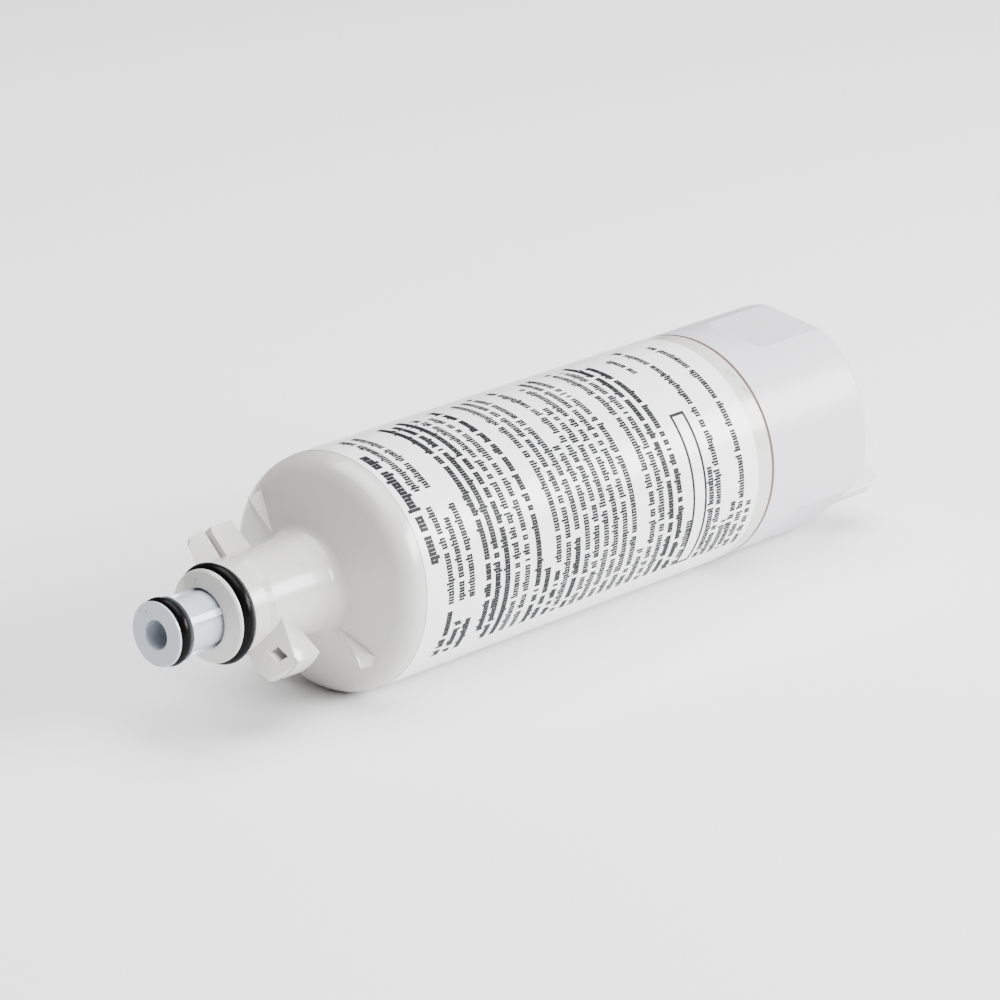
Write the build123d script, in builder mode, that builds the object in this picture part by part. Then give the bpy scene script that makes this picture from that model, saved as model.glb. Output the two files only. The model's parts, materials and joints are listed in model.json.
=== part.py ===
"""Fridge water filter cartridge, lying on its side, in millimetres.

X runs along the cartridge from front to rear and Z is up. The origin is the centre of the neck's front
face, where the cartridge seats in its holder. Clock angles are read from +Z towards +Y, and a radius is
always measured from the X axis.
"""
from build123d import *
import math
import os

os.makedirs("parts", exist_ok=True)

# Gaps between pieces that fit together
press_gap = 0.05
slip_gap = 0.15
seat_gap = 0.3

# Barrel and dome
body_r = 31.0
body_wall = 2.2
dome_corner_x = 40.25
dome_angle = 21.4
shoulder_fillet = 6.4
seam_w = 0.9
seam_depth = 0.5

# Neck
neck_rim_r = 11.9
rim_chamfer = 0.35
neck_hole_r = 7.75
lip_height = 1.55
lip_r = 8.4
lip_fillet = 0.6
land_w = 0.9
neck_groove_w = 4.2
neck_groove_r = 9.25
neck_front_r = 12.05
step_x = 9.9
step_w = 2.0
neck_barrel_r = 12.55
neck_root_r = 13.0
neck_root_fillet = 3.2
hole_depth = 15.0
chamber_r = 10.3
chamber_taper = 3.5

# Rings' round sections
neck_ring_r = 1.8
nozzle_ring_r = 1.6

# Bayonet lugs, in plan: along the axis and across it
lug_angle = 45.0
lug_r = 20.8
lug_foot_r = 8.6
nose_lean = 1.2
nose_shoulder_x = 8.2
nose_shoulder_r = 17.0
nose_fillet = 3.5
nose_side = 2.8
valley_side = 1.3
valley_w = 1.6
lug_step_x = 13.2
lug_side = 3.4
lug_rear_x = 20.8
flank_foot = 8.9
flank_top = 4.3
heel_foot = 1.8
heel_top = 5.5
heel_lean = 1.4
notch_w = 1.9
notch_depth = 1.7
pocket_floor_x = 14.0
pocket_depth = 8.0
pocket_across = 3.3
pocket_r = 16.4
pocket_w = 2.0
pocket_h = 3.3

# Ribs on the dome
rib_angle = 48.8
rib_face_x = 33.8
rib_inner_margin = 0.8
rib_outer_margin = 4.6
rib_crest_w = 1.8
rib_root_w = 3.4
rib_facet_run = 4.0
rib_end_spread = 1.2
rib_end_lean = 0.2
rib_foot_x = 39.4

# Nozzle
nozzle_face_x = -17.3
nozzle_bore_r = 3.7
flange_r = 8.25
front_flange_w = 0.78
nozzle_groove_w = 4.2
nozzle_groove_r = 5.45
rear_flange_w = 0.68
flange_chamfer = 0.25
stem_r = 7.0
stem_rib_r = 7.6
stem_rib_w = 1.6
stem_rib_count = 4
stem_rib_angle = 28.3
stem_rib_end_x = 9.0
stem_rib_bite = 1.0
tail_groove_w = 2.2
tail_groove_r = 5.4
tail_groove_back = 7.0
tail_chamfer = 0.6

# End cap
cap_len = 41.6
cap_rim_fillet = 2.5
cap_wall = 2.5
tongue_w = 1.6
tongue_len = 7.5
flat_depth = 1.55
flat_start = 9.6
flat_ramp = 5.3
flat_angles = (-9.2, -137.2)
plate_angle = 45.0
plate_t = 4.4
plate_margin = 1.8
plate_height = 16.7
plate_corner_x = 3.7
plate_corner_r = 1.8
plate_edge_fillet = 0.6
cradle_wall = 1.8
cradle_len = 16.0

# Filter element
element_x = 46.0
feed_gap = 2.5
block_bore_r = 8.0
block_len = 148.0
wrap_t = 0.9
core_t = 0.9
disc_t = 3.0
disc_lip_t = 1.3
disc_lip_len = 6.0
socket_wall = 2.0
socket_len = 16.0
boss_r = 9.0
boss_len = 14.0
boss_chamfer = 1.0
boss_end_gap = 5.5

# Label
film_gap = 0.02
film_t = 0.13
label_front_margin = 1.0
label_rear_margin = 6.2

# Places that follow from the sizes above
slope = math.tan(math.radians(dome_angle))
shoulder_x = dome_corner_x + shoulder_fillet * math.tan(math.radians(90 - dome_angle) / 2)
bore_r = body_r - body_wall
rib_inner_r = neck_root_r + rib_inner_margin
rib_outer_r = body_r - rib_outer_margin
groove_end_x = land_w + neck_groove_w
nose_x = groove_end_x
hole_end_x = hole_depth - lip_height
chamber_x = hole_end_x + chamber_taper
nozzle_groove_x = nozzle_face_x + front_flange_w
rear_flange_x = nozzle_groove_x + nozzle_groove_w
stem_x = rear_flange_x + rear_flange_w
nozzle_tail_x = element_x - seat_gap
tail_groove_x = nozzle_tail_x - tail_groove_back
socket_r = stem_r + slip_gap
block_x = element_x + disc_t
block_end_x = block_x + block_len
disc_r = bore_r - feed_gap
wrap_r = disc_r - disc_lip_t - press_gap
block_r = wrap_r - wrap_t - press_gap
cap_inner_x = block_end_x + disc_t + boss_len + boss_end_gap
cap_rear_x = cap_inner_x + cap_wall
seam_x = cap_rear_x - cap_len
barrel_end_x = seam_x - seam_w / 2
cap_front_x = seam_x + seam_w / 2
plate_r = body_r - plate_margin
plate_rear_x = cap_rear_x + plate_height
cradle_r = boss_r + slip_gap


def clock_plane(angle, height):
    """Plane across a radius: its x runs rearward, its y with the clock and its normal outward."""
    turn = math.radians(angle)
    outward = (0, math.sin(turn), math.cos(turn))
    return Plane(origin=(0, 0, 0), x_dir=(1, 0, 0), z_dir=outward).offset(height)


def axial_plane(angle):
    """Plane that holds the axis and one radius: its x runs rearward and its y outward."""
    turn = math.radians(angle)
    sideways = (0, -math.cos(turn), math.sin(turn))
    return Plane(origin=(0, 0, 0), x_dir=(1, 0, 0), z_dir=sideways)


def cross_plane(angle, x):
    """Plane across the axis at x: its own x runs with the clock and its y outward."""
    turn = math.radians(angle)
    clockwise = (0, math.cos(turn), -math.sin(turn))
    return Plane(origin=(x, 0, 0), x_dir=clockwise, z_dir=(1, 0, 0))


def dome_x(radius, depth=0.0):
    """Place along the axis of the dome's cone at a radius, at a depth under its outer face."""
    return dome_corner_x - (body_r - radius) * slope + depth / math.cos(math.radians(dome_angle))


def profile_corner(sketch, x, radius):
    """Corner of a profile that lies at x and a radius."""
    return sketch.vertices().sort_by_distance((x, radius, 0))[0]


def ring(centre_x, groove_r, section_r):
    """Seal ring of round section that sits on a groove's floor."""
    with BuildPart() as seal:
        with BuildSketch(Plane.XZ):
            with Locations((centre_x, groove_r + press_gap + section_r)):
                Circle(section_r)
        revolve(axis=Axis.X)
    return seal.part


def tube(x, length, inner_r, outer_r):
    """Plain tube along the axis."""
    with BuildPart() as pipe:
        with BuildSketch(Plane.YZ.offset(x)):
            Circle(outer_r)
            Circle(inner_r, mode=Mode.SUBTRACT)
        extrude(amount=length)
    return pipe.part


# Space that a lug may fill: a drum with a rounded leading shoulder
with BuildPart() as lug_drum:
    with BuildSketch(Plane.XZ) as drum_section:
        with BuildLine():
            Polyline(
                (nose_x, 0),
                (nose_x, nose_shoulder_r),
                (nose_shoulder_x, lug_r),
                (lug_rear_x + heel_lean, lug_r),
                (lug_rear_x + heel_lean, 0),
                close=True,
            )
        make_face()
        fillet(profile_corner(drum_section, nose_shoulder_x, lug_r), nose_fillet)
    revolve(axis=Axis.X)

# Lug: a ramped nose and a square block behind it, wider at the foot than at the top
with BuildPart() as lug:
    with BuildSketch(clock_plane(lug_angle, lug_foot_r)):
        with BuildLine():
            Polyline(
                (nose_x, 0),
                (lug_step_x, flank_foot),
                (lug_rear_x + heel_lean, heel_foot),
                (lug_rear_x + heel_lean, -lug_side),
                (lug_step_x, -lug_side),
                (lug_step_x, -valley_side),
                (lug_step_x - valley_w, -nose_side),
                close=True,
            )
        make_face()
    with BuildSketch(clock_plane(lug_angle, lug_r + press_gap)):
        with BuildLine():
            Polyline(
                (nose_x + nose_lean, -nose_side / 2),
                (lug_step_x, flank_top),
                (lug_rear_x, heel_top),
                (lug_rear_x, -lug_side),
                (lug_step_x, -lug_side),
                (lug_step_x, -valley_side),
                (lug_step_x - valley_w, -nose_side),
                close=True,
            )
        make_face()
    loft(ruled=True)
    add(lug_drum.part, mode=Mode.INTERSECT)
    with BuildSketch(axial_plane(lug_angle)):
        with BuildLine():
            Polyline(
                (lug_step_x - notch_w / 2, lug_r),
                (lug_step_x, lug_r - notch_depth),
                (lug_step_x + notch_w / 2, lug_r),
                close=True,
            )
        make_face()
    extrude(amount=2 * flank_foot, both=True, mode=Mode.SUBTRACT)
    with BuildSketch(cross_plane(lug_angle, pocket_floor_x)):
        with Locations((pocket_across, pocket_r)):
            Rectangle(pocket_w, pocket_h)
    extrude(amount=-pocket_depth, mode=Mode.SUBTRACT)

# Rib on the dome: flat-topped, with a sloping facet at its outer end
with BuildPart() as dome_rib:
    with BuildSketch(cross_plane(rib_angle, rib_face_x)):
        with BuildLine():
            Polyline(
                (-rib_crest_w / 2, rib_inner_r),
                (rib_crest_w / 2, rib_inner_r),
                (rib_crest_w / 2, rib_outer_r - rib_facet_run),
                (-rib_crest_w / 2, rib_outer_r),
                close=True,
            )
        make_face()
    with BuildSketch(cross_plane(rib_angle, rib_foot_x)):
        with BuildLine():
            Polyline(
                (-rib_root_w / 2, rib_inner_r - rib_end_spread),
                (rib_root_w / 2, rib_inner_r - rib_end_spread),
                (rib_root_w / 2, rib_outer_r + rib_end_lean),
                (-rib_root_w / 2, rib_outer_r + rib_end_lean),
                close=True,
            )
        make_face()
    loft(ruled=True)

# Inside of the housing: the way in round the nozzle, the neck's chamber and the barrel
with BuildPart() as housing_cavity:
    with BuildSketch(Plane.XZ) as cavity_section:
        with BuildLine():
            Polyline(
                (-2 * lip_height, 0),
                (-2 * lip_height, neck_hole_r),
                (hole_end_x, neck_hole_r),
                (chamber_x, chamber_r),
                (dome_x(chamber_r, body_wall), chamber_r),
                (dome_x(bore_r, body_wall), bore_r),
                (barrel_end_x, bore_r),
                (barrel_end_x, 0),
                close=True,
            )
        make_face()
        fillet(profile_corner(cavity_section, dome_x(bore_r, body_wall), bore_r), shoulder_fillet - body_wall)
    revolve(axis=Axis.X)

# Housing: neck, lugs, ribs, dome and barrel in one moulding
with BuildPart() as housing:
    with BuildSketch(Plane.XZ) as housing_section:
        with BuildLine():
            Polyline(
                (-lip_height, 0),
                (-lip_height, lip_r),
                (0, neck_rim_r),
                (land_w, neck_rim_r),
                (land_w, neck_groove_r),
                (groove_end_x, neck_groove_r),
                (groove_end_x, neck_front_r),
                (step_x, neck_front_r),
                (step_x + step_w, neck_barrel_r),
                (dome_x(neck_root_r), neck_root_r),
                (dome_corner_x, body_r),
                (barrel_end_x, body_r),
                (barrel_end_x, 0),
                close=True,
            )
        make_face()
        fillet(profile_corner(housing_section, dome_corner_x, body_r), shoulder_fillet)
        fillet(profile_corner(housing_section, dome_x(neck_root_r), neck_root_r), neck_root_fillet)
        chamfer(profile_corner(housing_section, 0, neck_rim_r), rim_chamfer)
        fillet(profile_corner(housing_section, -lip_height, lip_r), lip_fillet)
    revolve(axis=Axis.X)
    for turn in (0, 180):
        add(lug.part.rotate(Axis.X, turn))
        add(dome_rib.part.rotate(Axis.X, turn))
    add(housing_cavity.part, mode=Mode.SUBTRACT)


def flat_cutter(angle, radius):
    """Tool that takes a shallow flat off the end cap at a clock angle, down to a radius."""
    start_x = cap_front_x + flat_start
    reach = body_r - radius + flat_depth
    lead = flat_ramp / flat_depth
    with BuildPart() as tool:
        with BuildSketch(axial_plane(angle)):
            with BuildLine():
                Polyline(
                    (start_x + flat_ramp - lead * reach, radius + reach),
                    (start_x + flat_ramp, radius),
                    (cap_rear_x + flat_ramp, radius),
                    (cap_rear_x + flat_ramp, radius + reach),
                    close=True,
                )
            make_face()
        extrude(amount=body_r, both=True)
    return tool.part


# Inside of the end cap, which follows its flats
with BuildPart() as cap_cavity:
    with BuildSketch(Plane.XZ):
        with BuildLine():
            Polyline(
                (cap_front_x, 0),
                (cap_front_x, bore_r - press_gap - tongue_w),
                (cap_front_x + cap_wall, body_r - cap_wall),
                (cap_inner_x, body_r - cap_wall),
                (cap_inner_x, 0),
                close=True,
            )
        make_face()
    revolve(axis=Axis.X)
    for angle in flat_angles:
        for turn in (0, 180):
            add(flat_cutter(angle + turn, body_r - flat_depth - cap_wall), mode=Mode.SUBTRACT)

# End cap: tongue, seam, flats, turning plate and the cradle for the element
with BuildPart() as end_cap:
    with BuildSketch(Plane.XZ):
        with BuildLine():
            Polyline(
                (barrel_end_x - tongue_len, bore_r - press_gap - tongue_w),
                (barrel_end_x - tongue_len, bore_r - press_gap),
                (barrel_end_x, bore_r - press_gap),
                (barrel_end_x, body_r - seam_depth),
                (cap_front_x, body_r - seam_depth),
                (cap_front_x, body_r),
                (cap_rear_x, body_r),
                (cap_rear_x, 0),
                (cap_front_x, 0),
                (cap_front_x, bore_r - press_gap - tongue_w),
                close=True,
            )
        make_face()
    revolve(axis=Axis.X)
    for angle in flat_angles:
        for turn in (0, 180):
            add(flat_cutter(angle + turn, body_r - flat_depth), mode=Mode.SUBTRACT)
    fillet(end_cap.faces().sort_by(Axis.X)[-1].edges(), cap_rim_fillet)
    add(cap_cavity.part, mode=Mode.SUBTRACT)
    with BuildSketch(Plane.YZ.offset(cap_inner_x)):
        Circle(cradle_r + cradle_wall)
        Circle(cradle_r, mode=Mode.SUBTRACT)
    extrude(amount=-cradle_len)
    with BuildSketch(axial_plane(plate_angle)):
        with BuildLine():
            Polyline(
                (cap_inner_x + cap_wall / 2, -plate_r),
                (plate_rear_x - plate_corner_x, -plate_r),
                (plate_rear_x, plate_corner_r - plate_r),
                (plate_rear_x, plate_r - plate_corner_r),
                (plate_rear_x - plate_corner_x, plate_r),
                (cap_inner_x + cap_wall / 2, plate_r),
                close=True,
            )
        make_face()
    extrude(amount=plate_t / 2, both=True)
    plate_faces = end_cap.faces().filter_by(axial_plane(plate_angle)).sort_by(SortBy.AREA)[-2:]
    plate_edges = plate_faces.edges().filter_by(lambda edge: edge.center().X > cap_rear_x + slip_gap)
    fillet(plate_edges, plate_edge_fillet)

# Nozzle: two flanges with a groove between, a ribbed stem and a grooved tail
with BuildPart() as nozzle:
    with BuildSketch(Plane.XZ) as nozzle_section:
        with BuildLine():
            Polyline(
                (nozzle_face_x, nozzle_bore_r),
                (nozzle_face_x, flange_r),
                (nozzle_groove_x, flange_r),
                (nozzle_groove_x, nozzle_groove_r),
                (rear_flange_x, nozzle_groove_r),
                (rear_flange_x, flange_r),
                (stem_x, flange_r),
                (stem_x, stem_r),
                (tail_groove_x, stem_r),
                (tail_groove_x, tail_groove_r),
                (tail_groove_x + tail_groove_w, tail_groove_r),
                (tail_groove_x + tail_groove_w, stem_r),
                (nozzle_tail_x, stem_r),
                (nozzle_tail_x, nozzle_bore_r),
                close=True,
            )
        make_face()
        chamfer(profile_corner(nozzle_section, nozzle_face_x, flange_r), flange_chamfer)
        chamfer(profile_corner(nozzle_section, nozzle_face_x, nozzle_bore_r), flange_chamfer)
        chamfer(profile_corner(nozzle_section, nozzle_tail_x, stem_r), tail_chamfer)
    revolve(axis=Axis.X)
    for number in range(stem_rib_count):
        with BuildSketch(axial_plane(stem_rib_angle + number * 360 / stem_rib_count)):
            with BuildLine():
                Polyline(
                    (stem_x, stem_r - stem_rib_bite),
                    (stem_x, stem_rib_r),
                    (stem_rib_end_x, stem_rib_r),
                    (stem_rib_end_x + stem_rib_bite, stem_r - stem_rib_bite),
                    close=True,
                )
            make_face()
        extrude(amount=stem_rib_w / 2, both=True)

# Cap on the front of the element, with the socket for the nozzle's tail
with BuildPart() as element_front_cap:
    with BuildSketch(Plane.XZ):
        with BuildLine():
            Polyline(
                (element_x - socket_len, socket_r),
                (element_x - socket_len, socket_r + socket_wall),
                (element_x, socket_r + socket_wall),
                (element_x, disc_r),
                (block_x + disc_lip_len, disc_r),
                (block_x + disc_lip_len, disc_r - disc_lip_t),
                (block_x, disc_r - disc_lip_t),
                (block_x, nozzle_bore_r),
                (element_x, nozzle_bore_r),
                (element_x, socket_r),
                close=True,
            )
        make_face()
    revolve(axis=Axis.X)

# Closed cap on the rear of the element, with the boss that the end cap's cradle holds
with BuildPart() as element_rear_cap:
    with BuildSketch(Plane.XZ) as rear_cap_section:
        with BuildLine():
            Polyline(
                (block_end_x, 0),
                (block_end_x, disc_r - disc_lip_t),
                (block_end_x - disc_lip_len, disc_r - disc_lip_t),
                (block_end_x - disc_lip_len, disc_r),
                (block_end_x + disc_t, disc_r),
                (block_end_x + disc_t, boss_r),
                (block_end_x + disc_t + boss_len, boss_r),
                (block_end_x + disc_t + boss_len, 0),
                close=True,
            )
        make_face()
        chamfer(profile_corner(rear_cap_section, block_end_x + disc_t + boss_len, boss_r), boss_chamfer)
    revolve(axis=Axis.X)

# Label: thin film wrapped right round the barrel, its ends meeting
label_x = shoulder_x + label_front_margin
label_r = body_r + film_gap
label = tube(label_x, seam_x - label_rear_margin - label_x, label_r, label_r + film_t)

neck_ring = ring(land_w + neck_groove_w / 2, neck_groove_r, neck_ring_r)
nozzle_ring = ring(nozzle_groove_x + nozzle_groove_w / 2, nozzle_groove_r, nozzle_ring_r)
tail_ring_r = (socket_r - tail_groove_r) / 2 - press_gap
tail_ring = ring(tail_groove_x + tail_groove_w / 2, tail_groove_r, tail_ring_r)

pieces = {
    "housing": housing.part,
    "end_cap": end_cap.part,
    "label": label,
    "nozzle": nozzle.part,
    "nozzle_o_ring": nozzle_ring,
    "neck_o_ring": neck_ring,
    "tail_o_ring": tail_ring,
    "element_front_cap": element_front_cap.part,
    "element_rear_cap": element_rear_cap.part,
    "carbon_block": tube(block_x, block_len, block_bore_r, block_r),
    "prefilter_wrap": tube(block_x, block_len, block_r + press_gap, wrap_r),
    "core_fleece": tube(block_x, block_len, block_bore_r - press_gap - core_t, block_bore_r - press_gap),
}

for name, piece in pieces.items():
    piece.label = name
    export_step(piece, f"parts/{name}.step")
    print(name, round(piece.volume / 1000, 3), "cm3")
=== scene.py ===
import json
import math

import bpy
import numpy as np
from bpy.props import FloatProperty, FloatVectorProperty, IntProperty, PointerProperty
from mathutils import Matrix, Vector


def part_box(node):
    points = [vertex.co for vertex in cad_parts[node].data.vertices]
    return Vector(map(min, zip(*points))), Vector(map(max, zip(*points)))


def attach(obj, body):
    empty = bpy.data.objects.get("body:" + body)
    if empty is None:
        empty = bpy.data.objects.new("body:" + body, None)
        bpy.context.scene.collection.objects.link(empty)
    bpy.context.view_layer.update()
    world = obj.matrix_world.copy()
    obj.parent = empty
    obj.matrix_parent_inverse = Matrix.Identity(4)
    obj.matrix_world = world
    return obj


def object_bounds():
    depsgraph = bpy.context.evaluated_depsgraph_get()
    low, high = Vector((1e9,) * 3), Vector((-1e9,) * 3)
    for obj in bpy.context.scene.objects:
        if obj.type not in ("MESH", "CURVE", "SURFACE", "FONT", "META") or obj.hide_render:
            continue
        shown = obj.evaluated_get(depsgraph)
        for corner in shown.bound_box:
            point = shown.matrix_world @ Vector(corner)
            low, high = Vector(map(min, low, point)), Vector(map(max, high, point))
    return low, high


bl_info = {
    "name": "Fridge water filter cartridge",
    "version": (1, 0, 0),
    "blender": (4, 5, 0),
    "location": "View3D > Sidebar > Cartridge",
    "description": "Finishes, print, mould marks and studio for the filter cartridge",
    "category": "Object",
}

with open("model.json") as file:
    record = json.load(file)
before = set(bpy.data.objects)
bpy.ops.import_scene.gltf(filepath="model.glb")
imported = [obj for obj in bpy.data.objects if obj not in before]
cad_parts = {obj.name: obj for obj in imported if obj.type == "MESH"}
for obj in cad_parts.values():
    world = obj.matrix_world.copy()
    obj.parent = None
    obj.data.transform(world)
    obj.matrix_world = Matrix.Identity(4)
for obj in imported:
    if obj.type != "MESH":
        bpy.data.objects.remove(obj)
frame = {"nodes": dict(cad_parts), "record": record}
cad_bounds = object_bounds()

MM = 0.001
BODY = "root"
MOUNTS = {mount["name"]: mount for mount in frame["record"]["mounts"]}
BARREL_R = MOUNTS["barrel"]["dims"]["r_mm"] * MM
SEAM_HALF = 0.45 * MM
SEAM_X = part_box("housing")[1].x + SEAM_HALF

# Colours of the painted shade in the seam and dents, and of smeared ink
PAINTED_SHADE = (0.30, 0.25, 0.22)
BLOT = (0.12, 0.12, 0.15)

# Places of small marks, in millimetres
NECK_DENTS = ((-0.9, 2.8, 9.3), (-0.95, 2.7, 8.9), (-1.1, 2.6, 8.5), (-1.3, 2.5, 8.1))
NECK_RINGS = ((24.6, -8.96, 9.1), (26.5, -11.14, 6.24), (26.45, -12.17, 3.89))
NOZZLE_DENTS = ((-17.3, 2.9, 5.2), (-17.3, 3.3, 5.3), (-17.3, 5.3, 4.8))
HOUSING_BLOTS = ((178.1, -18.65, 24.76), (178.6, -22.08, 21.76), (177.4, -17.4, 25.6), (178.8, -23.0, 20.8))

# Radius of each mark and the width of its soft edge, in millimetres
DENT_SIZE = (0.16, 0.3)
BLOT_SIZE = (0.35, 0.6)
RING_OUTSIDE = (0.75, 0.2)
RING_INSIDE = (0.4, 0.2)
# Half width of the seam's painted shade band and of its soft edge
SEAM_SHADE_SIZE = (0.5, 0.3)

# Scales of noise, in features to the metre
CLOUD_SCALE = 38.0
PEEL_SCALE = 520.0
SMEAR_SCALE = 900.0
WAVE_SCALE = 60.0
INK_SCALE = 1500.0
RUBBER_SCALE = 900.0
GREASE_SCALE = 160.0
CARBON_SCALE = 1400.0
FIBRE_SCALE = 700.0
FLOOR_SCALE = 3.0

# Studio, in metres: place of each light, its width and height, the floor's half width and how far the camera
# sees; its sensor is in millimetres
KEY_PLACE = (0.85, -1.05, 0.55)
KEY_SIZE = (1.3, 0.5)
TOP_PLACE = (0.18, 0.0, 1.4)
TOP_SIZE = (1.7, 1.3)
FLOOR_HALF = 4.0
SENSOR_WIDTH = 36
FAR_LIMIT = 100


class CartridgeFinish(bpy.types.PropertyGroup):
    """Colours and gloss of the cartridge's own pieces."""

    housing_colour: FloatVectorProperty(
        name="Housing", description="Colour of the barrel and neck moulding",
        default=(0.56, 0.546, 0.534), size=3, min=0, max=1, subtype="COLOR")
    cap_colour: FloatVectorProperty(
        name="End cap", description="Colour of the rear cap, a little cooler than the housing",
        default=(0.59, 0.572, 0.613), size=3, min=0, max=1, subtype="COLOR")
    nozzle_colour: FloatVectorProperty(
        name="Nozzle", description="Colour of the nozzle, a bluish white",
        default=(0.45, 0.485, 0.54), size=3, min=0, max=1, subtype="COLOR")
    film_colour: FloatVectorProperty(
        name="Label film", description="Colour of the bare label",
        default=(0.85, 0.85, 0.858), size=3, min=0, max=1, subtype="COLOR")
    ink_colour: FloatVectorProperty(
        name="Ink", description="Colour of the print",
        default=(0.004, 0.004, 0.005), size=3, min=0, max=1, subtype="COLOR")
    rubber_colour: FloatVectorProperty(
        name="Rubber", description="Colour of the seal rings",
        default=(0.002, 0.002, 0.0022), size=3, min=0, max=1, subtype="COLOR")
    plastic_roughness: FloatProperty(
        name="Plastic roughness", description="How far the housing's plastic blurs a reflection",
        default=0.24, min=0, max=1, subtype="FACTOR")
    cap_roughness: FloatProperty(
        name="Cap roughness", description="How far the rear cap, which is duller, blurs a reflection",
        default=0.34, min=0, max=1, subtype="FACTOR")
    nozzle_roughness: FloatProperty(
        name="Nozzle roughness", description="How far the nozzle, which is glossier, blurs a reflection",
        default=0.192, min=0, max=1, subtype="FACTOR")
    film_roughness: FloatProperty(
        name="Film roughness", description="How far the label blurs a reflection",
        default=0.28, min=0, max=1, subtype="FACTOR")
    rubber_roughness: FloatProperty(
        name="Rubber roughness", description="How far the greased rings blur a reflection",
        default=0.2, min=0, max=1, subtype="FACTOR")


class CartridgePrint(bpy.types.PropertyGroup):
    """Sizes of the label's print, which stands for text with plain strokes."""

    line_pitch: FloatProperty(
        name="Line pitch", description="Distance from one line to the next along the barrel",
        default=3.66 * MM, min=1 * MM, unit="LENGTH")
    letter_pitch: FloatProperty(
        name="Letter pitch", description="Room that one letter takes round the barrel",
        default=1.5 * MM, min=0.3 * MM, unit="LENGTH")
    letter_height: FloatProperty(
        name="Letter height", description="Height of a small letter",
        default=1.95 * MM, min=0.3 * MM, unit="LENGTH")
    stroke: FloatProperty(
        name="Stroke", description="Width of a stroke in plain print",
        default=0.61 * MM, min=0.05 * MM, unit="LENGTH")
    bold_stroke: FloatProperty(
        name="Bold stroke", description="Width of a stroke in bold print",
        default=0.7 * MM, min=0.05 * MM, unit="LENGTH")
    ink_height: FloatProperty(
        name="Ink height", description="Thickness of the ink over the film",
        default=0.02 * MM, min=0, unit="LENGTH")
    ink_depth: FloatProperty(
        name="Ink depth", description="How far the ink reaches into the film",
        default=0.03 * MM, min=0, unit="LENGTH")
    lean: FloatProperty(
        name="Lean", description="How far a line runs forward in one turn round the barrel",
        default=4.8 * MM, unit="LENGTH")
    seed: IntProperty(
        name="Seed", description="Start of the random word lengths", default=7, min=0)


class CartridgeStudio(bpy.types.PropertyGroup):
    """Camera, floor and lights."""

    lens: FloatProperty(
        name="Lens", description="Focal length over a 36 mm sensor", default=180, min=1, unit="CAMERA")
    distance: FloatProperty(
        name="Distance", description="From the camera to the point that it looks at",
        default=1.3039, min=0.1, unit="LENGTH")
    azimuth: FloatProperty(
        name="Azimuth", description="Turn of the view from +Y towards +X",
        default=math.radians(47.9), unit="ROTATION")
    elevation: FloatProperty(
        name="Elevation", description="Height of the camera over the horizon",
        default=math.radians(18.56), unit="ROTATION")
    aim: FloatVectorProperty(
        name="Aim", description="Point that the camera looks at",
        default=(0.1143, 0.0069, 0.0), size=3, subtype="TRANSLATION")
    floor_colour: FloatVectorProperty(
        name="Floor", description="Colour of the floor",
        default=(0.95, 0.95, 0.95), size=3, min=0, max=1, subtype="COLOR")
    world_light: FloatProperty(
        name="Room light", description="Strength of the even light from all round", default=0.2, min=0)
    key_power: FloatProperty(
        name="Key light", description="Power of the long side light", default=64, min=0, unit="POWER")
    top_power: FloatProperty(
        name="Top light", description="Power of the light overhead", default=52, min=0, unit="POWER")


class Wire:
    """A value inside a material. Its operators add Math nodes."""

    def __init__(self, recipe, socket):
        self.recipe = recipe
        self.socket = socket

    def math(self, operation, first, second):
        return self.recipe.node("ShaderNodeMath", {"operation": operation}, {0: first, 1: second})

    def __add__(self, other):
        return self.math("ADD", self, other)

    def __radd__(self, other):
        return self.math("ADD", other, self)

    def __sub__(self, other):
        return self.math("SUBTRACT", self, other)

    def __rsub__(self, other):
        return self.math("SUBTRACT", other, self)

    def __mul__(self, other):
        return self.math("MULTIPLY", self, other)

    def __rmul__(self, other):
        return self.math("MULTIPLY", other, self)

    def __abs__(self):
        return self.math("ABSOLUTE", self, 0.0)

    def below(self, edge, blur):
        """1 where the value is under edge, falling to 0 over blur."""
        settings = {"interpolation_type": "SMOOTHSTEP"}
        inputs = {"Value": self, "From Min": edge, "From Max": edge + blur, "To Min": 1.0, "To Max": 0.0}
        return self.recipe.node("ShaderNodeMapRange", settings, inputs)


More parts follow.
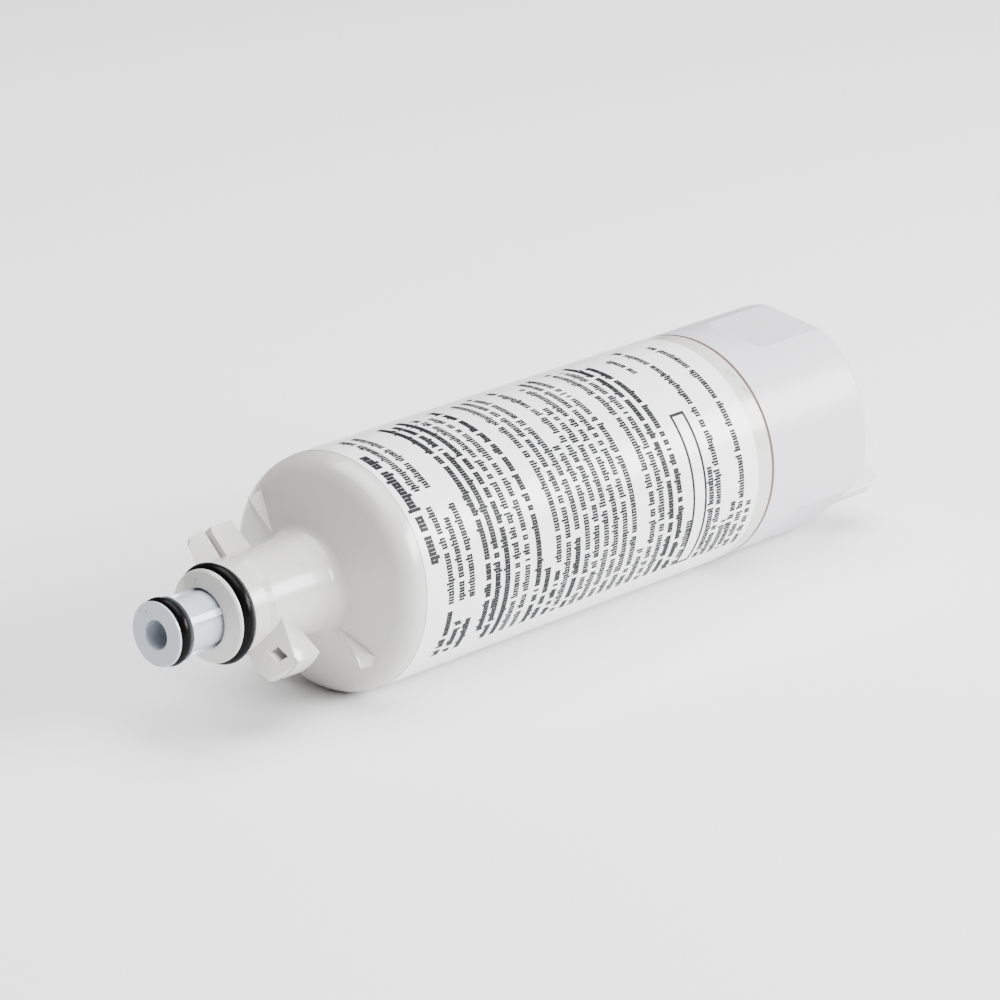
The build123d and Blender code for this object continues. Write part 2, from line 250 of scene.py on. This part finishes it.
class Recipe:
    """One procedural material, built round a Principled shader."""

    def __init__(self, name, **constants):
        self.material = bpy.data.materials.new(name)
        self.material.use_nodes = True
        self.tree = self.material.node_tree
        self.shader = next(node for node in self.tree.nodes if node.type == "BSDF_PRINCIPLED")
        for socket, value in constants.items():
            self.shader.inputs[socket.replace("_", " ")].default_value = value
        self.place = self.node("ShaderNodeTexCoord", output="Object")

    def node(self, kind, settings=None, inputs=None, output=0):
        """Adds a node with its settings, then its values and links, and gives one output."""
        node = self.tree.nodes.new(kind)
        for name, value in (settings or {}).items():
            setattr(node, name, value)
        for key, value in (inputs or {}).items():
            if isinstance(value, Wire):
                self.tree.links.new(value.socket, node.inputs[key])
            else:
                node.inputs[key].default_value = value
        return Wire(self, node.outputs[output])

    def feed(self, **links):
        """Links values to the shader's own sockets."""
        for socket, wire in links.items():
            self.tree.links.new(wire.socket, self.shader.inputs[socket.replace("_", " ")])

    def axis(self, name):
        """One object coordinate, in metres."""
        return self.node("ShaderNodeSeparateXYZ", inputs={0: self.place}, output=name)

    def noise(self, scale, detail=2.0, roughness=0.5):
        """Even noise from 0 to 1, with scale features to the metre."""
        inputs = {"Vector": self.place, "Scale": scale, "Detail": detail, "Roughness": roughness}
        return self.node("ShaderNodeTexNoise", inputs=inputs, output=0)

    def spot(self, place, radius, blur):
        """1 within a radius of a place, all in millimetres, falling to 0 over blur."""
        centre = tuple(value * MM for value in place)
        settings = {"operation": "DISTANCE"}
        away = self.node("ShaderNodeVectorMath", settings, {0: self.place, 1: centre}, "Value")
        return away.below(radius * MM, blur * MM)

    def spots(self, places, radius, blur):
        """Sum of equal spots."""
        return sum(self.spot(place, radius, blur) for place in places)

    def mix(self, factor, first, second):
        """Blend of two colours."""
        first = first if isinstance(first, Wire) else (*first, 1.0)
        second = second if isinstance(second, Wire) else (*second, 1.0)
        inputs = {0: factor, 6: first, 7: second}
        return self.node("ShaderNodeMix", {"data_type": "RGBA"}, inputs, output=2)

    def bump(self, height, strength, distance):
        """Normal that follows a height."""
        inputs = {"Height": height, "Strength": strength, "Distance": distance}
        return self.node("ShaderNodeBump", inputs=inputs)


def shade(colour, factor):
    """A colour with all its channels times one factor."""
    return tuple(channel * factor for channel in colour)


def moulded_plastic(name, colour, roughness, coat=0.35, seam=None, marks=(), blots=(), rings=()):
    """Glossy moulded plastic: faint clouding and fine orange peel.

    The coat is the share of a second, sharper gloss. Where they are given, the seam gets a band of painted
    shade for the shadow in its gap, marks are small dents with painted shade in them, blots are faint smears
    of ink and rings are small raised circles left by the mould.
    """
    recipe = Recipe(name, IOR=1.49, Coat_Weight=coat, Coat_Roughness=0.1, Subsurface_Weight=0.06,
                    Subsurface_Radius=(1.0, 0.9, 0.8), Subsurface_Scale=0.0015)
    clouding = recipe.noise(CLOUD_SCALE, detail=3.0)
    base = recipe.mix(clouding, shade(colour, 0.965), shade(colour, 1.02))
    relief = recipe.noise(PEEL_SCALE) * 0.05
    if seam is not None:
        # Painted shade: a dark band along the seam stands for the shadow in the gap between housing and cap.
        seam_shade = abs(recipe.axis("X") - seam).below(SEAM_SHADE_SIZE[0] * MM, SEAM_SHADE_SIZE[1] * MM)
        base = recipe.mix(seam_shade * 0.8, base, PAINTED_SHADE)
    if blots:
        base = recipe.mix(recipe.spots(blots, *BLOT_SIZE) * recipe.noise(SMEAR_SCALE) * 0.8, base, BLOT)
    if marks:
        dents = recipe.spots(marks, *DENT_SIZE)
        # Painted shade: the dents are also darkened, for the shade that falls inside them.
        base = recipe.mix(dents * 0.7, base, PAINTED_SHADE)
        relief = relief - dents
    if rings:
        relief = relief + recipe.spots(rings, *RING_OUTSIDE) - recipe.spots(rings, *RING_INSIDE)
    recipe.feed(
        Base_Color=base,
        Roughness=roughness + clouding * 0.08 - 0.04,
        Normal=recipe.bump(relief, 1.0, 0.1 * MM),
    )
    return recipe.material


def label_film(name, colour, roughness):
    """Glossy white film: almost even, with the faint waves of a film stuck on by hand."""
    recipe = Recipe(name, IOR=1.5, Coat_Weight=0.2, Coat_Roughness=0.15)
    waves = recipe.noise(WAVE_SCALE, detail=1.0)
    recipe.feed(
        Base_Color=recipe.mix(waves, shade(colour, 0.985), shade(colour, 1.0)),
        Roughness=roughness + waves * 0.06,
        Normal=recipe.bump(waves, 0.08, 0.3 * MM),
    )
    return recipe.material


def printed_ink(name, colour):
    """Black ink with a slightly uneven gloss."""
    recipe = Recipe(name, Specular_IOR_Level=0.2)
    grain = recipe.noise(INK_SCALE)
    recipe.feed(
        Base_Color=recipe.mix(grain, colour, shade(colour, 2.2)),
        Roughness=grain * 0.15 + 0.45,
    )
    return recipe.material


def seal_rubber(name, colour, roughness):
    """Greased black rubber, with a fine parting grain."""
    recipe = Recipe(name, Specular_IOR_Level=0.07)
    grain = recipe.noise(RUBBER_SCALE, detail=3.0)
    smear = recipe.noise(GREASE_SCALE)
    recipe.feed(
        Base_Color=recipe.mix(grain, colour, shade(colour, 1.8)),
        Roughness=roughness + smear * 0.1,
        Normal=recipe.bump(grain, 0.03, 0.02 * MM),
    )
    return recipe.material


def pressed_carbon(name):
    """Matte black block of sintered grains."""
    recipe = Recipe(name, Roughness=0.85)
    grain = recipe.noise(CARBON_SCALE, detail=4.0, roughness=0.7)
    recipe.feed(
        Base_Color=recipe.mix(grain, (0.012, 0.012, 0.013), (0.06, 0.06, 0.062)),
        Normal=recipe.bump(grain, 0.5, 0.4 * MM),
    )
    return recipe.material


def felted_fleece(name):
    """White fleece of matted fibres."""
    recipe = Recipe(name, Roughness=0.9, Sheen_Weight=0.3)
    fibre = recipe.noise(FIBRE_SCALE, detail=6.0, roughness=0.8)
    recipe.feed(
        Base_Color=recipe.mix(fibre, (0.72, 0.71, 0.68), (0.9, 0.9, 0.88)),
        Normal=recipe.bump(fibre, 0.4, 0.3 * MM),
    )
    return recipe.material


def dress(node, material):
    """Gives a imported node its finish."""
    for slot in frame["nodes"][node].material_slots:
        slot.material = material


def new_piece(name, vertices, faces, material, slot, smooth=False):
    """Makes a mesh object from whole arrays and rides it on the cartridge."""
    mesh = bpy.data.meshes.new(name)
    mesh.from_pydata(vertices.tolist(), [], faces.tolist())
    mesh.update()
    mesh.polygons.foreach_set("use_smooth", np.full(len(mesh.polygons), smooth))
    mesh.materials.append(material)
    piece = bpy.data.objects.new(name, mesh)
    bpy.context.scene.collection.objects.link(piece)
    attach(piece, BODY)
    return piece


def curved_plates(front, rear, start, end, inner, outer, spans):
    """Thin plates that follow the barrel.

    Each plate is a box in cylinder coordinates: from front to rear along X, from start to end in clock
    angle and from inner to outer in radius. A point at x, angle a and radius r lies at
    (x, r sin a, r cos a). The corners are worked out for all plates at spans + 1 angles at once. Where an
    outer corner would pass the barrel's highest or widest place, its radius is cut back to it.
    """
    count = len(front)
    share = np.linspace(0.0, 1.0, spans + 1)
    angle = start[:, None] + (end - start)[:, None] * share
    x = np.stack([front, rear, rear, front], axis=1)[:, None, :].repeat(spans + 1, axis=1)
    reach = BARREL_R / np.maximum(abs(np.sin(angle)), abs(np.cos(angle)))
    outer = np.minimum(outer, reach)
    radius = np.stack([np.full_like(outer, inner), np.full_like(outer, inner), outer, outer], axis=-1)
    vertices = np.stack([
        x,
        np.sin(angle)[:, :, None] * radius,
        np.cos(angle)[:, :, None] * radius,
    ], axis=-1).reshape(-1, 3)
    ring = np.arange(4)
    after = np.roll(ring, -1)
    station = np.arange(spans)[:, None] * 4
    sides = np.stack([station + ring, station + after, station + 4 + after, station + 4 + ring], axis=-1)
    first_end = np.array([[3, 2, 1, 0]])
    last_end = spans * 4 + np.array([[0, 1, 2, 3]])
    pattern = np.concatenate([sides.reshape(-1, 4), first_end, last_end])
    offset = np.arange(count)[:, None, None] * (spans + 1) * 4
    return vertices, (pattern[None] + offset).reshape(-1, 4)


def joined(parts):
    """Several (vertices, faces) pairs as one."""
    vertices = np.concatenate([part[0] for part in parts])
    starts = np.cumsum([0] + [len(part[0]) for part in parts[:-1]])
    faces = np.concatenate([part[1] + start for part, start in zip(parts, starts)])
    return vertices, faces


# Clock angles of the text block's margins and tab stops, in degrees from +Z towards +Y
MARGIN = -127.5
VALUE_TAB = -97.0
SECOND_TAB = -41.0
END = 11.0

# Lines of the text block: steps of the line pitch from the first line, start and end angle, and bold or not
HEADING = (-1.25, -75.5, -9.5)
TEXT_LINES = (
    (0.0, MARGIN, -100.0, True), (0.0, VALUE_TAB, -49.0, False), (0.0, SECOND_TAB, END, False),
    (1.05, MARGIN, -106.0, True), (1.05, VALUE_TAB, -55.0, False), (1.05, SECOND_TAB, END, False),
    (2.1, MARGIN, -108.0, True), (2.1, VALUE_TAB, -51.0, False),
    (3.75, -120.0, END, True), (4.7, MARGIN, 9.0, True), (5.7, MARGIN, END, True),
    (6.7, MARGIN, 8.0, False), (7.75, MARGIN, 5.0, False),
    (8.95, MARGIN, END, True), (9.95, MARGIN, -95.0, True),
    (11.0, MARGIN, -98.0, True), (11.0, -96.0, END, False), (12.0, MARGIN, END, False),
    (13.0, MARGIN, -85.0, True), (13.0, -83.0, END, False), (14.0, MARGIN, -41.0, False),
    (15.0, MARGIN, END, False), (16.0, MARGIN, -19.0, False), (17.0, MARGIN, 2.0, False),
    (18.0, MARGIN, END, False), (19.0, MARGIN, END, False), (20.0, MARGIN, -105.0, False),
    (21.0, MARGIN, END, False), (22.0, MARGIN, 9.0, False), (23.0, MARGIN, 10.0, True),
    (24.0, MARGIN, 5.0, True), (25.1, MARGIN, -97.0, False), (26.3, -17.0, 5.0, False),
    (27.45, MARGIN, -75.0, False), (28.25, MARGIN, END, False), (29.2, MARGIN, -106.0, False),
    (30.0, MARGIN, -95.0, False), (30.85, MARGIN, 3.0, False), (31.8, MARGIN, -97.0, False),
)
FIRST_LINE = 54.8 * MM
HEADING_SIZE = 1.38
BOX_FRONT = 147.3 * MM
BOX_REAR = 152.9 * MM
BOX_START = -127.5
BOX_END = -46.0
BOX_LINE = 0.85 * MM
BOX_SPANS = 48

# Cells of a word: shares of those with one, two and three bars, chance and width of a gap, and chance and
# extra height of a tall or deep bar
BAR_SHARES = (0.24, 0.66, 0.1)
GAP_CHANCE, GAP_PITCHES = 0.19, 0.6
TALL_CHANCE, TALL_SHARE = 0.15, 0.34
DEEP_CHANCE, DEEP_SHARE = 0.05, 0.3
# Chance of a tie between two bars at their front, middle and rear, and its thickness against a bar's
TIE_CHANCES = (0.62, 0.3, 0.55)
TIE_SHARE = 0.75


def word_strokes(rng, text, place, start, end, bold, size):
    """Plain bars that stand for one line of words.

    The line is filled with narrow, plain and wide cells, and after some of them comes a gap. A cell has one,
    two or three upright bars, half a letter pitch apart. Each bar is as high as a small letter, or now and
    then higher or lower, and most neighbours are tied by a short bar in front, behind or between. Gives
    fronts, rears, starts and ends of the bars.
    """
    pitch = text.letter_pitch * size / BARREL_R
    count = int(2 * (end - start) / pitch)
    uprights = rng.choice(3, size=count, p=BAR_SHARES) + 1
    step = (0.5 * uprights + np.where(rng.random(count) < GAP_CHANCE, GAP_PITCHES, 0.0)) * pitch
    cell = start + np.cumsum(step) - step
    fits = cell + 0.5 * uprights * pitch < end
    uprights, cell = uprights[fits], cell[fits]
    thick = (text.bold_stroke if bold else text.stroke) * size
    width = thick / BARREL_R
    height = text.letter_height * size

    def bars(wanted, shift, front, rear, begin, length):
        at = cell[wanted] + shift * pitch
        base = place - (at - np.radians(BOX_START)) * text.lean / (2 * np.pi)
        return base + front, base + rear, at + begin, at + begin + length

    columns = []
    for number in range(3):
        wanted = uprights > number
        tall = np.where(rng.random(wanted.sum()) < TALL_CHANCE, TALL_SHARE * height, 0.0)
        deep = np.where(rng.random(wanted.sum()) < DEEP_CHANCE, DEEP_SHARE * height, 0.0)
        columns.append(bars(wanted, 0.5 * number, -height / 2 - tall, height / 2 + deep, 0.0, width))
    gap = 0.5 * pitch - width
    tie = TIE_SHARE * thick
    edge = (height - thick) / 2
    for number in range(2):
        for chance, middle in zip(TIE_CHANCES, (-edge, 0.0, edge)):
            wanted = (uprights > number + 1) & (rng.random(len(cell)) < chance)
            columns.append(bars(wanted, 0.5 * number, middle - tie / 2, middle + tie / 2, width, gap))
    return [np.concatenate(column) for column in zip(*columns)]


class CARTRIDGE_OT_plastic(bpy.types.Operator):
    """Finish the housing, the end cap and the nozzle as moulded plastic"""

    bl_idname = "cartridge.plastic"
    bl_label = "Moulded plastic"

    def execute(self, context):
        look = context.scene.cartridge_finish
        dress("housing", moulded_plastic(
            "housing_plastic", look.housing_colour, look.plastic_roughness,
            seam=SEAM_X, marks=NECK_DENTS, blots=HOUSING_BLOTS, rings=NECK_RINGS))
        dress("end_cap", moulded_plastic(
            "cap_plastic", look.cap_colour, look.cap_roughness, coat=0.1, seam=SEAM_X))
        dress("nozzle", moulded_plastic(
            "nozzle_plastic", look.nozzle_colour, look.nozzle_roughness, marks=NOZZLE_DENTS))
        return {"FINISHED"}


class CARTRIDGE_OT_seals(bpy.types.Operator):
    """Finish the three seal rings as greased rubber"""

    bl_idname = "cartridge.seals"
    bl_label = "Seal rings"

    def execute(self, context):
        look = context.scene.cartridge_finish
        rubber = seal_rubber("seal_rubber", look.rubber_colour, look.rubber_roughness)
        for node in ("neck_o_ring", "nozzle_o_ring", "tail_o_ring"):
            dress(node, rubber)
        return {"FINISHED"}


class CARTRIDGE_OT_element(bpy.types.Operator):
    """Finish the filter element inside the housing"""

    bl_idname = "cartridge.element"
    bl_label = "Filter element"

    def execute(self, context):
        look = context.scene.cartridge_finish
        plastic = moulded_plastic("element_plastic", shade(look.housing_colour, 0.95), 0.45, coat=0.0)
        fleece = felted_fleece("fleece")
        dress("element_front_cap", plastic)
        dress("element_rear_cap", plastic)
        dress("carbon_block", pressed_carbon("carbon"))
        dress("prefilter_wrap", fleece)
        dress("core_fleece", fleece)
        return {"FINISHED"}


class CARTRIDGE_OT_label(bpy.types.Operator):
    """Finish the label film and lay the print on it as plain strokes"""

    bl_idname = "cartridge.label"
    bl_label = "Label and print"

    def execute(self, context):
        look = context.scene.cartridge_finish
        text = context.scene.cartridge_print
        dress("label", label_film("label_film", look.film_colour, look.film_roughness))
        rng = np.random.default_rng(text.seed)
        lines = [(FIRST_LINE + HEADING[0] * text.line_pitch, *HEADING[1:], True, HEADING_SIZE)]
        lines += [(FIRST_LINE + step * text.line_pitch, start, end, bold, 1.0)
                  for step, start, end, bold in TEXT_LINES]
        strokes = [
            word_strokes(rng, text, place, math.radians(start), math.radians(end), bold, size)
            for place, start, end, bold, size in lines
        ]
        front, rear, start, end = (np.concatenate(part) for part in zip(*strokes))
        inner = BARREL_R - text.ink_depth
        outer = BARREL_R + text.ink_height
        words = curved_plates(front, rear, start, end, inner, outer, 1)
        rim = np.radians([BOX_START, BOX_END])
        edge = BOX_LINE / BARREL_R
        long_sides = curved_plates(
            np.array([BOX_FRONT, BOX_REAR - BOX_LINE]), np.array([BOX_FRONT + BOX_LINE, BOX_REAR]),
            rim[[0, 0]], rim[[1, 1]], inner, outer, BOX_SPANS)
        short_sides = curved_plates(
            np.full(2, BOX_FRONT), np.full(2, BOX_REAR), rim - [0, edge], rim + [edge, 0],
            inner, outer, 1)
        ink = printed_ink("printed_ink", look.ink_colour)
        new_piece("label_print", *words, ink, "label_film")
        new_piece("label_box", *joined([long_sides, short_sides]), ink, "label_film")
        return {"FINISHED"}


def soft_light(name, location, aim, width, height, power):
    """Rectangular studio light that faces a point."""
    lamp = bpy.data.lights.new(name, "AREA")
    lamp.shape = "RECTANGLE"
    lamp.size = width
    lamp.size_y = height
    lamp.energy = power
    light = bpy.data.objects.new(name, lamp)
    turn = (Vector(aim) - Vector(location)).to_track_quat("-Z", "Y")
    light.matrix_world = Matrix.LocRotScale(Vector(location), turn, None)
    bpy.context.scene.collection.objects.link(light)
    return light


class CARTRIDGE_OT_studio(bpy.types.Operator):
    """Set up the pale floor, the soft lights and the camera"""

    bl_idname = "cartridge.studio"
    bl_label = "Studio"

    def execute(self, context):
        studio = context.scene.cartridge_studio
        aim = Vector(studio.aim)

        recipe = Recipe("floor", Roughness=0.9)
        cloud = recipe.noise(FLOOR_SCALE)
        recipe.feed(Base_Color=recipe.mix(cloud, shade(studio.floor_colour, 0.99), studio.floor_colour))
        level = cad_bounds[0][2]
        corners = [(x * FLOOR_HALF, y * FLOOR_HALF, level) for x, y in ((-1, -1), (1, -1), (1, 1), (-1, 1))]
        mesh = bpy.data.meshes.new("floor")
        mesh.from_pydata(corners, [], [(0, 1, 2, 3)])
        mesh.materials.append(recipe.material)
        floor = bpy.data.objects.new("floor", mesh)
        context.scene.collection.objects.link(floor)

        world = bpy.data.worlds.new("room")
        world.use_nodes = True
        background = world.node_tree.nodes["Background"]
        background.inputs["Color"].default_value = (1.0, 1.0, 1.0, 1.0)
        background.inputs["Strength"].default_value = studio.world_light
        context.scene.world = world

        soft_light("key", KEY_PLACE, aim, *KEY_SIZE, studio.key_power)
        soft_light("top", TOP_PLACE, aim, *TOP_SIZE, studio.top_power)

        camera_data = bpy.data.cameras.new("camera")
        camera_data.lens = studio.lens
        camera_data.sensor_width = SENSOR_WIDTH
        camera_data.clip_end = FAR_LIMIT
        camera = bpy.data.objects.new("camera", camera_data)
        level_reach = math.cos(studio.elevation)
        ahead = Vector((
            math.sin(studio.azimuth) * level_reach,
            math.cos(studio.azimuth) * level_reach,
            -math.sin(studio.elevation),
        ))
        turn = ahead.to_track_quat("-Z", "Y")
        camera.matrix_world = Matrix.LocRotScale(aim - ahead * studio.distance, turn, None)
        context.scene.collection.objects.link(camera)
        context.scene.camera = camera
        return {"FINISHED"}


OPERATORS = (
    CARTRIDGE_OT_plastic,
    CARTRIDGE_OT_seals,
    CARTRIDGE_OT_element,
    CARTRIDGE_OT_label,
    CARTRIDGE_OT_studio,
)
GROUPS = {
    "cartridge_finish": CartridgeFinish,
    "cartridge_print": CartridgePrint,
    "cartridge_studio": CartridgeStudio,
}


class CARTRIDGE_PT_panel(bpy.types.Panel):
    """Sidebar panel with the cartridge's settings and steps"""

    bl_label = "Filter cartridge"
    bl_space_type = "VIEW_3D"
    bl_region_type = "UI"
    bl_category = "Cartridge"

    def draw(self, context):
        for name, group in GROUPS.items():
            column = self.layout.column(align=True)
            for key in group.__annotations__:
                column.prop(getattr(context.scene, name), key)
        for operator in OPERATORS:
            self.layout.operator(operator.bl_idname)


def register():
    for cls in (*GROUPS.values(), *OPERATORS, CARTRIDGE_PT_panel):
        bpy.utils.register_class(cls)
    for name, group in GROUPS.items():
        setattr(bpy.types.Scene, name, PointerProperty(type=group))


def unregister():
    for name in GROUPS:
        delattr(bpy.types.Scene, name)
    for cls in (CARTRIDGE_PT_panel, *reversed(OPERATORS), *reversed(GROUPS.values())):
        bpy.utils.unregister_class(cls)


def main():
    """Registers the add-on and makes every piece."""
    register()
    bpy.ops.cartridge.plastic()
    bpy.ops.cartridge.seals()
    bpy.ops.cartridge.element()
    bpy.ops.cartridge.label()
    bpy.ops.cartridge.studio()


if __name__ == "__main__":
    main()
